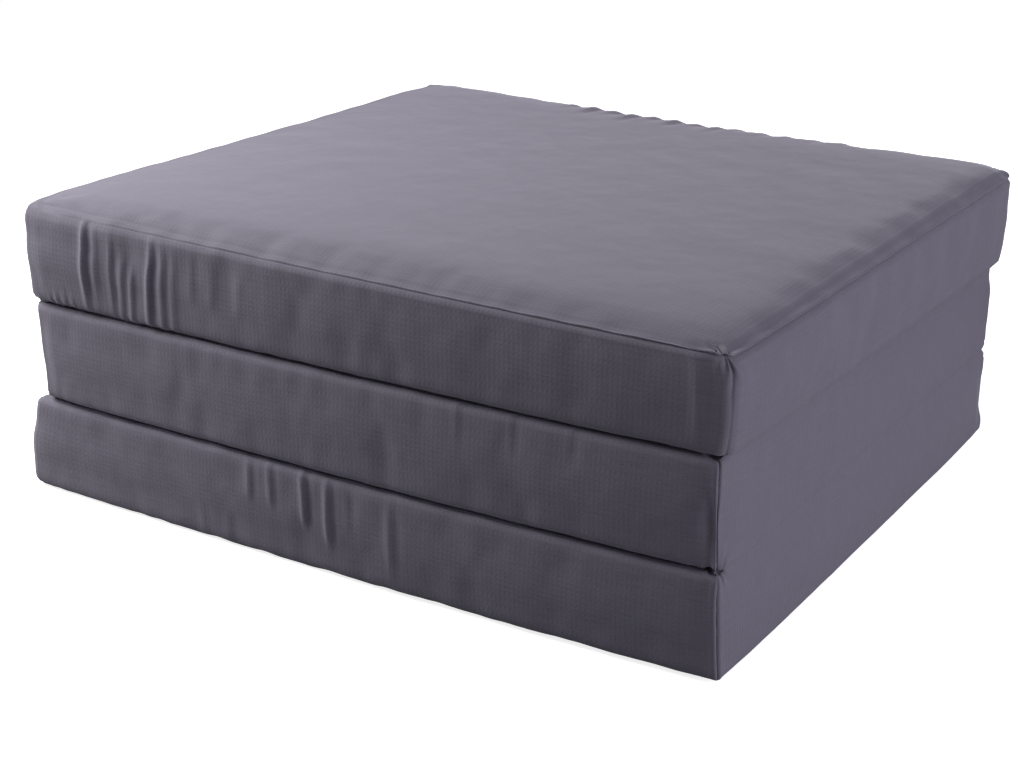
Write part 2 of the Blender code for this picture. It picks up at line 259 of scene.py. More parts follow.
# Radius of the upright corners: front left, front right, back left, back right
UPRIGHT = {
    "bottom": (0.010, 0.004, 0.016, 0.006),
    "middle": (0.007, 0.004, 0.006, 0.006),
    "top": (0.008, 0.011, 0.009, 0.011),
}


def ease(low, high, value):
    """0 below low, 1 above high, smooth between."""
    t = np.clip((value - low) / (high - low), 0, 1)
    return t * t * (3 - 2 * t)


def along_rims(table, box, panel, to_wall):
    """A value of the rim nearest to each point, which changes smoothly round the corners."""
    to_end = ease(0, 0.012, to_wall[:, 1] - to_wall[:, 0])
    values = np.zeros(len(box))
    for rim in (LOWER, UPPER):
        front_left, front_right, back, left, right = table[panel, rim]
        front = front_left + (front_right - front_left) * (0.5 + box[:, 0] / (2 * half_length))
        long_side = np.where(box[:, 1] < 0, front, back)
        short_side = np.where(box[:, 0] < 0, left, right)
        value = long_side + (short_side - long_side) * to_end
        values = np.where((box[:, 2] < 0) == (rim == LOWER), value, values)
    return values


def round_off(box, panel):
    """Places on the rounded block for points of the box, and the outward directions there."""
    side = np.where(box < 0, -1.0, 1.0)
    half = np.array(HALF)
    to_wall = half - np.abs(box)
    inset = np.minimum(to_wall[:, 0], to_wall[:, 1])
    drop = to_wall[:, 2]

    # Slide the cloth over the rim, so that its seam lies where it is sewn.
    reach = SLIDE_REACH
    path = np.where(inset < 1e-7, drop, -inset)
    seam = along_rims(SEAM_AT, box, panel, to_wall)
    above = -reach + (path + reach) * (seam + reach) / (SEWN + reach)
    below = seam + (path - SEWN) * (reach - seam) / (reach - SEWN)
    slid = np.select([path <= -reach, path < SEWN, path < reach], [path, above, below], path)
    shift = np.maximum(-slid, 0) - inset
    inset, drop = np.maximum(-slid, 0), np.maximum(slid, 0)

    roll = along_rims(ROLL, box, panel, to_wall)
    out = np.stack([roll - inset, roll - drop], 1)
    in_roll = (out > 0).all(1)
    length = np.maximum(np.linalg.norm(out, axis=1), 1e-9)
    lean = np.where(in_roll[:, None], out / length[:, None],
                    np.stack([drop > 1e-7, drop <= 1e-7], 1).astype(float))
    inset = np.where(in_roll, roll * (1 - lean[:, 0]), inset)
    drop = np.where(in_roll, roll * (1 - lean[:, 1]), drop)

    radii = UPRIGHT[panel]
    corner = np.where(box[:, 1] < 0, np.where(box[:, 0] < 0, radii[0], radii[1]),
                      np.where(box[:, 0] < 0, radii[2], radii[3]))
    centre = half[None, :2] - corner[:, None]
    around = np.abs(box[:, :2]) - centre
    in_corner = (around > 1e-9).all(1)
    turn = around / np.maximum(np.linalg.norm(around, axis=1), 1e-9)[:, None]
    nearer_end = to_wall[:, 0] < to_wall[:, 1]
    straight = np.stack([nearer_end, ~nearer_end], 1).astype(float)
    turn = np.where(in_corner[:, None], turn, straight)
    near_corner = ease(0.030, 0.0, np.abs(to_wall[:, 0] - to_wall[:, 1]))
    level = np.abs(box[:, :2]) - (shift * near_corner)[:, None]
    plain = np.where(straight > 0, half[None, :2] - inset[:, None], level)
    curved = (centre + turn * np.maximum(corner - inset, 0)[:, None]
              - np.maximum(inset - corner, 0)[:, None])
    plan = np.where(in_corner[:, None], curved, plain)
    places = np.concatenate([plan, (HALF.z - drop)[:, None]], 1) * side
    outward = np.concatenate([turn * lean[:, :1], lean[:, 1:]], 1) * side
    return places, outward


def read_points(mesh, attribute=None):
    """A mesh's points, or one of its vector attributes, as rows of three numbers."""
    data = mesh.attributes[attribute].data if attribute else mesh.vertices
    values = np.zeros(len(data) * 3, np.float32)
    data.foreach_get("vector" if attribute else "co", values)
    return values.reshape(-1, 3).astype(float)


def write_points(mesh, places):
    mesh.vertices.foreach_set("co", places.astype(np.float32).ravel())
    mesh.update()


def longest(moved):
    """The longest of some moves, in millimetres."""
    return round(float(np.linalg.norm(moved, axis=1).max()) * 1000, 1)


net_box = read_points(net_mesh)
rounded = {panel: round_off(net_box, panel)[0] for panel in HINGES}
for panel, places in rounded.items():
    print(panel, "rounded, moved by up to", longest(places - net_box), "mm")

# %% [markdown]
# ## How foam and use change the block
# Foam pushes the cloth out between its seams, and the folded stack settles. The front
# bulges in the middle of its length, its corners are drawn in, and the top panel is
# crowned. The panels stay flat where they lie on each other and where they fold.

# %% Swell and settle
# How far each corner of a panel has moved: (x end, y side, z rim): (x, y, z), metres
CORNER_MOVES = {
    "top": {(1, -1, 1): (-0.0080, 0.002, -0.0110), (1, -1, -1): (-0.0040, 0.002, 0.0),
            (1, 1, 1): (0.003, 0.0, 0.003), (-1, 1, 1): (0.004, 0.004, 0.0085),
            (-1, -1, 1): (-0.003, -0.006, 0.003), (-1, -1, -1): (0.0, -0.004, 0.0)},
    "middle": {(1, -1, 1): (0.0, 0.002, 0.0), (1, -1, -1): (0.0, 0.001, 0.0),
               (-1, -1, 1): (0.0, -0.005, 0.0), (-1, -1, -1): (0.0, -0.004, 0.0)},
    "bottom": {(-1, -1, -1): (0.0, -0.008, 0.0), (-1, -1, 1): (0.0, -0.004, 0.0),
               (1, -1, -1): (0.003, 0.0, 0.002), (1, -1, 1): (0.0, 0.001, 0.0)},
}
CROWN = {"top": 0.0080, "middle": 0.0, "bottom": 0.0}
# How each end stands out: in its middle, at its lower rim, at its upper rim, and how much
# less at its corners
END_SHAPE = {
    ("top", LEFT): (0.0080, 0.0, 0.0045, 0.6), ("top", RIGHT): (0.0050, 0.0045, 0.0045, 0.4),
    ("middle", LEFT): (0.0020, -0.0050, 0.0, 0.0), ("middle", RIGHT): (0.0010, 0.0, -0.0055, 0.4),
    ("bottom", LEFT): (0.0095, 0.0130, 0.0025, 0.0), ("bottom", RIGHT): (0.0060, 0.0055, 0.0, 0.2),
}
# Where an upright corner is puffed out at half its height: (x end, y side): (x, y), metres
PUFFS = {
    "top": {(-1, -1): (-0.0045, -0.0070), (1, 1): (0.003, 0.0), (1, -1): (-0.0015, 0.0)},
    "middle": {(-1, -1): (0.0, -0.0045)},
    "bottom": {(-1, -1): (-0.0020, -0.0040)},
}
PUFF_REACH = 0.10
FRONT_BULGE = 0.0070        # over the whole length of the front
FRONT_FILL, BACK_FILL = 0.0026, 0.0015      # between the seams only


def swell(box, places, panel):
    """The block's skin once it is stuffed and has been lain on."""
    u, v, w = (box / np.array(HALF)).T
    moved = places.copy()
    between_seams = np.clip(1 - np.abs(w) ** 2.5, 0, 1)
    moved[:, 1] -= ease(0.2, 1.0, -v) * FRONT_BULGE * (1 - u ** 2)
    moved[:, 1] -= ease(0.85, 1.0, -v) * FRONT_FILL * between_seams * (1 - u ** 8)
    off_zip = ease(0.30, 0.55, np.abs(w))
    moved[:, 1] += ease(0.85, 1.0, v) * BACK_FILL * off_zip * between_seams * (1 - u ** 8)
    for end in (LEFT, RIGHT):
        middle, lower, upper, less = END_SHAPE[panel, end]
        at_corner = 1 - less * v ** 4
        rims = (lower + (upper - lower) * ease(-1, 1, w)) * at_corner
        if end in HINGES[panel]:
            stand_out = middle * (1 - w ** 2) ** 2 * (1 - v ** 6) + rims
        else:
            stand_out = middle * (1 - w ** 2) * at_corner + rims
        past_corner = ease(corner_seam_x / half_length, 0.985, end * u)
        beyond_zip = 0 if end in HINGES[panel] else past_corner
        on_zip = 1 - ease(0.9, 1.0, v) * (1 - off_zip) * (1 - beyond_zip)
        moved[:, 0] += end * ease(0.80, 1.0, end * u) * stand_out * on_zip
    for (end, side), push in PUFFS[panel].items():
        far = np.hypot(box[:, 0] - end * half_length, box[:, 1] - side * half_width) / PUFF_REACH
        moved[:, :2] += (np.exp(-far ** 2) * (1 - w ** 2))[:, None] * np.array(push)
    if CROWN[panel]:
        rise = CROWN[panel] * (1 - np.abs(u) ** 14) * (1 - np.abs(v) ** 14)
        moved[:, 2] += ease(0.3, 1.0, w) * rise
    for (end, side, rim), move in CORNER_MOVES[panel].items():
        share = np.clip((1 + end * u) / 2 * (1 + side * v) / 2, 0, 1)
        moved += (share ** 1.6 * ease(0.30, 1.0, rim * w))[:, None] * np.array(move)
    return moved


settled = {panel: swell(net_box, rounded[panel], panel) for panel in HINGES}
for panel, places in settled.items():
    print(panel, "settles by up to", longest(places - rounded[panel]), "mm")

# %% [markdown]
# ## Pressure from the foam
# Blender's cloth gives the small uneven swells that no formula has. The net is blown up
# with a little pressure for twenty frames while its seams are held back, and how far a
# point may move is capped. Only the movement is kept, and it is added to the fine mesh.

# %% Cloth simulation
SWELL_CAP = 0.0035
SWELL_SHARE = 0.55
PRESSURE, FRAMES = 4.0, 20


def subdivided(mesh, kind):
    """A mesh after two subdivisions."""
    thing = add_object("fine", mesh)
    finer = thing.modifiers.new("finer", "SUBSURF")
    finer.subdivision_type = kind
    finer.levels = finer.render_levels = 2
    graph = bpy.context.evaluated_depsgraph_get()
    fine = bpy.data.meshes.new_from_object(thing.evaluated_get(graph))
    bpy.data.objects.remove(thing)
    return fine


def net_with(places):
    """A copy of the net with its points moved."""
    mesh = net_mesh.copy()
    write_points(mesh, places)
    return mesh


def stuff(panel):
    """How far the cloth of a panel moves under pressure, for each point of the fine mesh."""
    start = settled[panel]
    thing = add_object("stuffing", net_with(start))
    held = thing.vertex_groups.new(name="held")
    u, v, w = (net_box / np.array(HALF)).T
    wall = (np.abs(u) > 0.999) | (np.abs(v) > 0.999)
    at_seam = wall & (np.abs(np.abs(net_box[:, 2]) - seam_z) < 0.001)
    at_hinge = np.zeros(len(u), bool)
    for end in HINGES[panel]:
        at_hinge |= end * u > 0.999
    stacked = (np.abs(w) > 0.999) & ~((panel == "top") & (w > 0))
    weight = np.where(at_hinge, 1.0, np.where(at_seam, 0.75, np.where(stacked, 0.55, 0.12)))
    weight = np.maximum(weight, np.where((v > 0.999) & (np.abs(w) < 0.5), 0.95, 0))
    for value in np.unique(weight):
        held.add([int(i) for i in np.nonzero(weight == value)[0]], float(value), "REPLACE")
    cloth = thing.modifiers.new("cloth", "CLOTH")
    settings = cloth.settings
    settings.quality = 5
    settings.mass = 0.2
    settings.tension_stiffness = settings.compression_stiffness = 12
    settings.shear_stiffness = 6
    settings.bending_stiffness = 0.3
    settings.use_pressure = True
    settings.uniform_pressure_force = PRESSURE
    settings.vertex_group_mass = "held"
    settings.shrink_min = -0.015
    settings.effector_weights.gravity = 0
    cloth.collision_settings.use_collision = False
    for step in range(1, FRAMES + 1):
        bpy.context.scene.frame_set(step)
    graph = bpy.context.evaluated_depsgraph_get()
    blown = bpy.data.meshes.new_from_object(thing.evaluated_get(graph))
    moved = read_points(blown) - start
    bpy.data.objects.remove(thing)
    bpy.context.scene.frame_set(1)
    size = np.linalg.norm(moved, axis=1)
    moved *= (SWELL_SHARE * np.minimum(size, SWELL_CAP) / np.maximum(size, 1e-9))[:, None]
    print(panel, "blown up: moves", round(float(size.mean()) * 1000, 2), "mm on average")
    after, before = (read_points(subdivided(net_with(places), "CATMULL_CLARK"))
                     for places in (start + moved, start))
    return after - before


fine_net = subdivided(net_mesh.copy(), "SIMPLE")
moves = {panel: np.zeros((len(fine_net.vertices), 3)) for panel in HINGES}
moves = {panel: stuff(panel) for panel in HINGES}
print("fine net:", len(fine_net.vertices), "points,", len(fine_net.polygons), "faces")

# %% [markdown]
# ## Seams and creases
# Where two pieces are sewn, the thread draws the cloth into a narrow groove with a small
# lip on both sides. A crease is a soft ridge with a hollow beside it. Each one follows a
# line on the cloth and fades out at its ends.

# %% Groove and crease
SEAM_REACH = 0.0014


def groove(distance, depth, reach=SEAM_REACH):
    """Height of the cloth near a seam: a groove between two low lips."""
    lip = 0.22 * depth * np.exp(-((np.abs(distance) - 2.6 * reach) / (1.4 * reach)) ** 2)
    return lip - depth * np.exp(-(distance / reach) ** 2)


def crease(along, across, path, width, height, hollow=0.42, fade=0.30):
    """Height of one crease. path holds (along, across) pairs in order along the crease."""
    path = np.array(path)
    first, last = path[0, 0], path[-1, 0]
    line = np.interp(along, path[:, 0], path[:, 1])
    q = (across - line) / width
    share = (along - first) / (last - first)
    strength = ease(0, fade, share) * ease(0, fade, 1 - share)
    return height * strength * (np.exp(-q ** 2) - hollow * np.exp(-(q - 1.7) ** 2))


# On the front, along runs down from the panel's upper edge: (depth below it, x), metres
FRONT_CREASES = {
    "top": [
        ([(0.004, -0.2572), (0.039, -0.2587), (0.078, -0.2598)], 0.0034, 0.0022),
        ([(0.010, -0.2450), (0.072, -0.2480)], 0.0034, 0.0007),
        ([(0.012, -0.2282), (0.043, -0.2306), (0.078, -0.2312)], 0.0032, 0.0011),
        ([(0.022, -0.2155), (0.050, -0.2188), (0.084, -0.2236)], 0.0034, 0.0010),
        ([(0.032, -0.2062), (0.060, -0.2090), (0.084, -0.2130)], 0.0031, 0.0010),
        ([(0.010, -0.1830), (0.044, -0.1886), (0.084, -0.1930)], 0.0034, 0.0021),
        ([(0.012, -0.1712), (0.050, -0.1755), (0.088, -0.1775)], 0.0036, 0.0012),
        ([(0.014, -0.1600), (0.050, -0.1640), (0.086, -0.1660)], 0.0040, 0.0006),
        ([(0.014, -0.1420), (0.058, -0.1443)], 0.0040, 0.0005),
        ([(0.018, -0.1212), (0.062, -0.1235)], 0.0044, 0.0004),
        ([(0.020, -0.0945), (0.066, -0.0966)], 0.0050, 0.0004),
        ([(0.066, -0.3030), (0.085, -0.3028)], 0.0020, 0.0006),
        ([(0.064, -0.2948), (0.085, -0.2950)], 0.0020, 0.0007),
        ([(0.062, -0.2850), (0.085, -0.2858)], 0.0021, 0.0006),
        ([(0.064, -0.2762), (0.085, -0.2764)], 0.0022, 0.0005),
        ([(0.006, 0.3030), (0.030, 0.3050), (0.074, 0.3070)], 0.0050, 0.0011),
    ],
    "middle": [
        ([(0.004, 0.110), (0.020, 0.112), (0.034, 0.113)], 0.0036, 0.0005),
        ([(0.004, 0.158), (0.020, 0.159), (0.034, 0.160)], 0.0036, 0.0005),
        ([(0.004, 0.208), (0.020, 0.208), (0.030, 0.208)], 0.0040, 0.0005),
        ([(0.020, 0.324), (0.050, 0.320), (0.080, 0.325)], 0.0045, -0.0010),
    ],
    "bottom": [
        ([(0.012, -0.0922), (0.024, -0.0910), (0.040, -0.0898)], 0.0036, 0.0010),
        ([(0.010, -0.0712), (0.024, -0.0690), (0.042, -0.0668)], 0.0036, 0.0012),
        ([(0.008, -0.0374), (0.027, -0.0338), (0.052, -0.0320)], 0.0036, 0.0021),
        ([(0.009, -0.0122), (0.034, -0.0096), (0.064, -0.0078)], 0.0037, 0.0021),
        ([(0.014, 0.0064), (0.046, 0.0116)], 0.0040, 0.0006),
        ([(0.011, 0.0488), (0.041, 0.0514), (0.070, 0.0533)], 0.0044, 0.0012),
        ([(0.052, -0.1432), (0.082, -0.1424)], 0.0045, 0.0004),
        ([(0.054, -0.1159), (0.082, -0.1149)], 0.0045, 0.0004),
    ],
}


def front_height(box, panel):
    """Height of the creases on a panel's front, which run over both of its rims."""
    down = half_thickness - box[:, 2]
    over = box[:, 1] + half_width
    down = np.where(box[:, 2] > half_thickness - 1e-6, -over, down)
    down = np.where(box[:, 2] < 1e-6 - half_thickness, 2 * half_thickness + over, down)
    height = np.zeros(len(box))
    for path, width, rise in FRONT_CREASES[panel]:
        height += crease(down, box[:, 0], path, width, rise)
    at_front = (over < 0.02) | (np.abs(down) < 1e-6)
    return np.where(at_front & (np.abs(box[:, 0]) < half_length - 1e-6), height, 0)


# On the top panel, short creases run in from the back edge: (distance from it, x)
BACK_EDGE_CREASES = [(-0.125, 0.055, 0.0011), (-0.100, 0.075, 0.0016), (-0.076, 0.060, 0.0013),
                     (-0.052, 0.080, 0.0017), (-0.028, 0.065, 0.0014), (-0.004, 0.075, 0.0016),
                     (0.020, 0.060, 0.0013), (0.043, 0.070, 0.0014), (0.066, 0.050, 0.0009),
                     (0.092, 0.055, 0.0009), (0.118, 0.050, 0.0007), (0.146, 0.055, 0.0007),
                     (0.175, 0.045, 0.0006)]


def back_edge_height(box, panel):
    """Height of the gathers that the zip pulls into the top sheet along its back edge."""
    height = np.zeros(len(box))
    if panel != "top":
        return height
    inward = half_width - box[:, 1]
    for x, reach, rise in BACK_EDGE_CREASES:
        path = [(0.0, x + 0.002), (reach * 0.5, x), (reach, x - 0.003)]
        height += crease(inward, box[:, 0], path, 0.0046, rise, hollow=1.0, fade=0.45)
    return np.where(box[:, 2] > half_thickness - 1e-6, height, 0)


SEAM_SHOWS = {              # depth of a seam's groove, as ROLL and SEAM_AT are given
    ("bottom", LOWER): (0.0006, 0.0006, 0.0010, 0.0006, 0.0006),
    ("bottom", UPPER): (0.0006, 0.0006, 0.0010, 0.0006, 0.0),
    ("middle", LOWER): (0.0006, 0.0006, 0.0010, 0.0006, 0.0),
    ("middle", UPPER): (0.0006, 0.0004, 0.0010, 0.0, 0.0),
    ("top", LOWER): (0.0006, 0.0004, 0.0010, 0.0, 0.0),
    ("top", UPPER): (0.0001, 0.0021, 0.0012, 0.0004, 0.0026),
}
# The same for the upright seams: front left, front right
UPRIGHT_SHOWS = {"bottom": (0.0002, 0.0009), "middle": (0.0006, 0.0010), "top": (0.0004, 0.0002)}
CORNER_DEPTH, CORNER_REACH = 0.0010, 0.0018


def seam_height(box, panel):
    """Height of the cloth beside the level seams and the upright corner seams."""
    to_wall = np.array(HALF) - np.abs(box)
    wall = np.minimum(to_wall[:, 0], to_wall[:, 1]) < 1e-6
    depth = along_rims(SEAM_SHOWS, box, panel, to_wall)
    height = np.where(wall, groove(np.abs(box[:, 2]) - seam_z, depth), 0)
    between = np.abs(box[:, 2]) < seam_z + 1e-6
    for end, depth in zip((LEFT, RIGHT), UPRIGHT_SHOWS[panel]):
        from_corner = np.hypot(half_length - end * box[:, 0], half_width + box[:, 1])
        height += np.where(wall & between, groove(from_corner, depth, CORNER_REACH), 0)
        if end in HINGES[panel]:
            from_corner = np.hypot(half_length - end * box[:, 0], half_width - box[:, 1])
        else:
            off_back = box[:, 1] < half_width - 1e-6
            from_corner = np.abs(end * box[:, 0] - corner_seam_x) + 1.0 * off_back
        height += np.where(wall & between, groove(from_corner, CORNER_DEPTH, CORNER_REACH), 0)
    return height


# Tucks at the near corners: panel, place in the box, reach, depth
TUCKS = [
    ("top", (0.326, -0.300, 0.0325), 0.0075, 0.0040),
    ("top", (0.330, -0.294, 0.0400), 0.0060, -0.0016),
    ("middle", (0.326, -0.300, 0.0360), 0.0080, 0.0030),
    ("middle", (0.328, -0.300, -0.0100), 0.0200, 0.0032),
    ("middle", (0.327, -0.300, -0.0380), 0.0060, 0.0018),
    ("bottom", (0.327, -0.300, 0.0400), 0.0060, 0.0020),
]
# Puckers that spread from where a gap ends at a corner: panel, corner, reach, height, count
PUCKERS = [
    ("middle", (0.330, -0.300, -0.04375), 0.012, 0.0011, 9),
    ("bottom", (0.330, -0.300, 0.04375), 0.012, 0.0009, 8),
    ("top", (0.330, -0.300, 0.0330), 0.011, 0.0009, 9),
    ("top", (-0.330, -0.300, -0.04375), 0.012, 0.0009, 8),
]


def tuck_height(box, panel):
    """Dents and small radiating puckers at the corners."""
    height = np.zeros(len(box))
    for name, place, reach, depth in TUCKS:
        if name == panel:
            far = np.linalg.norm(box - np.array(place), axis=1)
            height -= depth * np.exp(-(far / reach) ** 2)
    for name, place, reach, rise, count in PUCKERS:
        if name == panel:
            away = box - np.array(place)
            far = np.linalg.norm(away, axis=1)
            angle = np.arctan2(away[:, 2], np.abs(away[:, 0]) - np.abs(away[:, 1]))
            height += rise * np.cos(count * angle) * np.exp(-((far - reach) / (0.6 * reach)) ** 2)
    return height


def uneven(places, panel):
    """Very low waves all over the cloth, a different set for each panel."""
    offset = Vector((0, 0, {"bottom": 3.1, "middle": 7.7, "top": 12.4}[panel]))
    return np.array([sum(noise.noise(Vector(p) * scale + offset) * height
                         for scale, height in ((26, 0.0006), (75, 0.00022))) for p in places])


fine_box = read_points(fine_net)
deepest = float(front_height(fine_box, "top").min())
print("deepest crease on the top panel:", round(deepest * 1000, 2), "mm")

# %% [markdown]
# ## Which faces are which piece
# Every face of the net belongs to one sewn piece. The strip where the zip goes belongs
# to none, so it stays open.

# %% Sort the faces
END_NAME = {LEFT: "left", RIGHT: "right"}


def piece_of_faces(centres, panel):
    """The piece that each face belongs to, by its middle in the box."""
    hinges = HINGES[panel]
    x, y, z = centres.T
    names = np.where(z > 0, "upper_sheet", "lower_sheet").astype(object)
    band = np.abs(z) < seam_z
    front, back = y < 1e-5 - half_width, y > half_width - 1e-5
    names[front & band] = "front_boxing"
    names[back & band & (z > 0)] = "back_boxing_upper"
    names[back & band & (z < 0)] = "back_boxing_lower"
    names[back & (np.abs(z) < zip_half)] = "zip_opening"
    for end in (LEFT, RIGHT):
        at_end = end * x > half_length - 1e-5
        if end in hinges:
            names[at_end & (-hinges[end] * z < seam_z)] = f"{END_NAME[end]}_gusset"
            names[back & (np.abs(z) < zip_half) & (end * x > hinge_seam_x)] = "back_boxing_lower"
        else:
            around = at_end | back & (end * x > corner_seam_x)
            names[band & around] = f"{END_NAME[end]}_end_boxing"
    return names


centres = np.zeros(len(fine_net.polygons) * 3, np.float32)
fine_net.polygons.foreach_get("center", centres)
centres = centres.reshape(-1, 3).astype(float)
sorted_faces = {panel: piece_of_faces(centres, panel) for panel in HINGES}
for panel, names in sorted_faces.items():
    print(panel, {name: int((names == name).sum()) for name in sorted(set(names))})

# %% [markdown]
# ## Cut out a piece and lay it on the foam
# A piece is a copy of the net with all other faces deleted. Its points then move to the
# rounded, stuffed and creased skin. A UV map in metres keeps each point's place on the
# flat cloth, so the weave follows the cloth round its edges.

# %% Cut, place and thicken
CLOTH = 0.0012              # thickness of the shown cloth


def cut_out(panel, piece, refine=False):
    """A bmesh of one piece in box coordinates. refine halves its faces along X."""
    mesh = fine_net.copy()
    stored = mesh.attributes.new("move", "FLOAT_VECTOR", "POINT")
    stored.data.foreach_set("vector", moves[panel].astype(np.float32).ravel())
    bm = bmesh.new()
    bm.from_mesh(mesh)
    bm.faces.ensure_lookup_table()
    others = [bm.faces[int(i)] for i in np.nonzero(sorted_faces[panel] != piece)[0]]
    bmesh.ops.delete(bm, geom=others, context="FACES")
    for edge in bm.edges:
        edge.smooth = not edge.is_boundary
    if refine:
        lengthwise = [e for e in bm.edges if abs(e.verts[0].co.x - e.verts[1].co.x) > 1e-6]
        bmesh.ops.subdivide_edges(bm, edges=lengthwise, cuts=1, use_grid_fill=True)
    return bm


def add_cloth_uv(bm):
    """UV in metres on the flat cloth: a sheet's skirt is laid out beyond its edge."""
    layer = bm.loops.layers.uv.new("cloth")
    for face in bm.faces:
        middle = face.calc_center_median()
        at_end = abs(middle.x) > half_length - 1e-5
        at_side = abs(middle.y) > half_width - 1e-5
        on_skirt = abs(middle.z) > seam_z
        for loop in face.loops:
            x, y, z = loop.vert.co
            drop = half_thickness - abs(z)
            if at_end:
                uv = (math.copysign(half_length + drop, x), y) if on_skirt else (y, z)
            elif at_side:
                uv = (x, math.copysign(half_width + drop, y)) if on_skirt else (x, z)
            else:
                uv = (x, y)
            loop[layer].uv = uv


def lay_on_foam(mesh, panel):
    """Move a piece's points from the box to its place in the stack."""
    box = read_points(mesh)
    move = read_points(mesh, "move")
    rounded, outward = round_off(box, panel)
    places = swell(box, rounded, panel)
    u, v, w = (box / np.array(HALF)).T
    free = np.ones(len(box))
    for end, rim in HINGES[panel].items():
        free *= 1 - ease(0.93, 1.0, end * u)
    free *= 1 - ease(0.93, 1.0, v) * (1 - ease(0.25, 0.5, np.abs(w)))
    places += move * free[:, None]
    height = (front_height(box, panel) + back_edge_height(box, panel) + seam_height(box, panel)
              + tuck_height(box, panel)
              + uneven(places, panel) * (0.4 + 0.6 * free))
    places += outward * height[:, None]
    limit = half_thickness - 0.0001
    places[:, 2] = np.clip(places[:, 2], -limit, 1.0 if panel == "top" else limit) + CENTRE_Z[panel]
    write_points(mesh, places)
    mesh.attributes.remove(mesh.attributes["move"])


def put_in_scene(name, mesh):
    """A smooth object for a finished mesh."""
    mesh.name = name
    mesh.shade_smooth()
    return add_object(name, mesh)


def finish_cloth(name, mesh, thickness=CLOTH):
    """Make the object, smooth, with its thickness on the inside."""
    thing = put_in_scene(name, mesh)
    wall = thing.modifiers.new("thickness", "SOLIDIFY")
    wall.thickness = thickness
    wall.offset = -1
    return thing


def merge_close(mesh, reach=0.0003):
    """Merge points that the small corners have brought together."""
    bm = bmesh.new()
    bm.from_mesh(mesh)
    bmesh.ops.remove_doubles(bm, verts=bm.verts, dist=reach)
    bm.to_mesh(mesh)
    bm.free()


def make_cover_piece(panel, piece, refine=False):
    """One sewn piece of a panel's cover."""
    bm = cut_out(panel, piece, refine)
    add_cloth_uv(bm)
    mesh = to_mesh(bm, piece)
    lay_on_foam(mesh, panel)
    merge_close(mesh)
    return finish_cloth(f"cover_{panel}_{piece}", mesh)


cover = {}
for panel, names in sorted_faces.items():
    for piece in sorted(set(names) - {"zip_opening", "left_gusset", "right_gusset"}):
        cover[panel, piece] = make_cover_piece(panel, piece, refine=piece == "front_boxing")
print("cover pieces:", len(cover))

# %% [markdown]
# ## Hinge gussets
# One strip of cloth goes over the ends of two panels, without a seam between them, and
# that is what holds the mattress together. Both end nets are placed first, and the two
# rims are then joined with a bridge of faces across the fold.

# %% Gussets over two ends
RIM_REACH = 0.0022          # how near the fold a rim's points lie


def make_gusset(name, piece, low_panel, high_panel):
    """One continuous strip over an end of two stacked panels."""
    whole = bmesh.new()
    for panel in (low_panel, high_panel):
        bm = cut_out(panel, piece)
        add_cloth_uv(bm)
        mesh = to_mesh(bm, "half")
        lay_on_foam(mesh, panel)
        whole.from_mesh(mesh)
        bpy.data.meshes.remove(mesh)
    fold_z = (CENTRE_Z[low_panel] + CENTRE_Z[high_panel]) / 2
    rims = [e for e in whole.edges
            if e.is_boundary and abs(e.verts[0].co.y - e.verts[1].co.y) > 1e-4
            and all(abs(vert.co.z - fold_z) < RIM_REACH for vert in e.verts)]
    bmesh.ops.bridge_loops(whole, edges=rims)
    bmesh.ops.recalc_face_normals(whole, faces=whole.faces[:])
    end = RIGHT if piece == "right_gusset" else LEFT
    if sum(face.normal.x * end for face in whole.faces) < 0:
        bmesh.ops.reverse_faces(whole, faces=whole.faces[:])
    mesh = to_mesh(whole, name)
    print(name, len(mesh.polygons), "faces, fold at", round(fold_z, 4))
    return finish_cloth(name, mesh), fold_z


lower_gusset, lower_fold_z = make_gusset(
    "cover_lower_hinge_gusset", "right_gusset", "bottom", "middle")
upper_gusset, upper_fold_z = make_gusset(
    "cover_upper_hinge_gusset", "left_gusset", "middle", "top")

# %% [markdown]
# ## Foam
# The foam can't be seen while the zip is closed, but it is there: a block a little
# smaller than its cover, with soft edges.

# %% Foam cores
FOAM_SMALLER = Vector((0.012, 0.012, 0.010))
FOAM_EDGE = 0.022


def make_foam(panel):
    """A foam block with rounded edges inside one panel's cover."""
    low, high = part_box(f"{panel}_foam_core")
    bm = bmesh.new()
    bmesh.ops.create_cube(bm, size=1.0)
    bmesh.ops.scale(bm, vec=(high - low) - FOAM_SMALLER, verts=bm.verts)
    bmesh.ops.bevel(bm, geom=bm.edges[:], offset=FOAM_EDGE, segments=5, profile=0.5,
                    affect="EDGES", material=-1)
    bmesh.ops.translate(bm, vec=(low + high) / 2, verts=bm.verts)
    return put_in_scene(f"foam_{panel}", to_mesh(bm, f"foam_{panel}"))


foam = {panel: make_foam(panel) for panel in HINGES}
print("foam cores:", len(foam))

# %% [markdown]
# ## Zips
# Each cover closes at its back with a coil zip, so that it can be taken off and washed.
# Two woven tapes carry a coil of nylon each. A coil is one thin rod wound into flat loops,
# so a single turn is spun and then repeated in a row. Its neighbour starts half a turn
# later, and so their loops lie between each other.

# %% Zip tapes
SIGN = {"lower": -1, "upper": 1}
SIDES = [(panel, side) for panel in HINGES for side in SIGN]
TAPE_UNDER = 0.007          # how far a tape runs on under the free end's boxing
TAPE_CLOTH, TAPE_WAVE = 0.0006, 0.00025


def tape_box(panel, side):
    """The corners of a tape, with the end that is sewn in under the free end's boxing."""
    low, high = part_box(f"{panel}_zip_tape_{side}")
    return (low - Vector((0 if LEFT in HINGES[panel] else TAPE_UNDER, 0, 0)),
            high + Vector((0 if RIGHT in HINGES[panel] else TAPE_UNDER, 0, 0)))


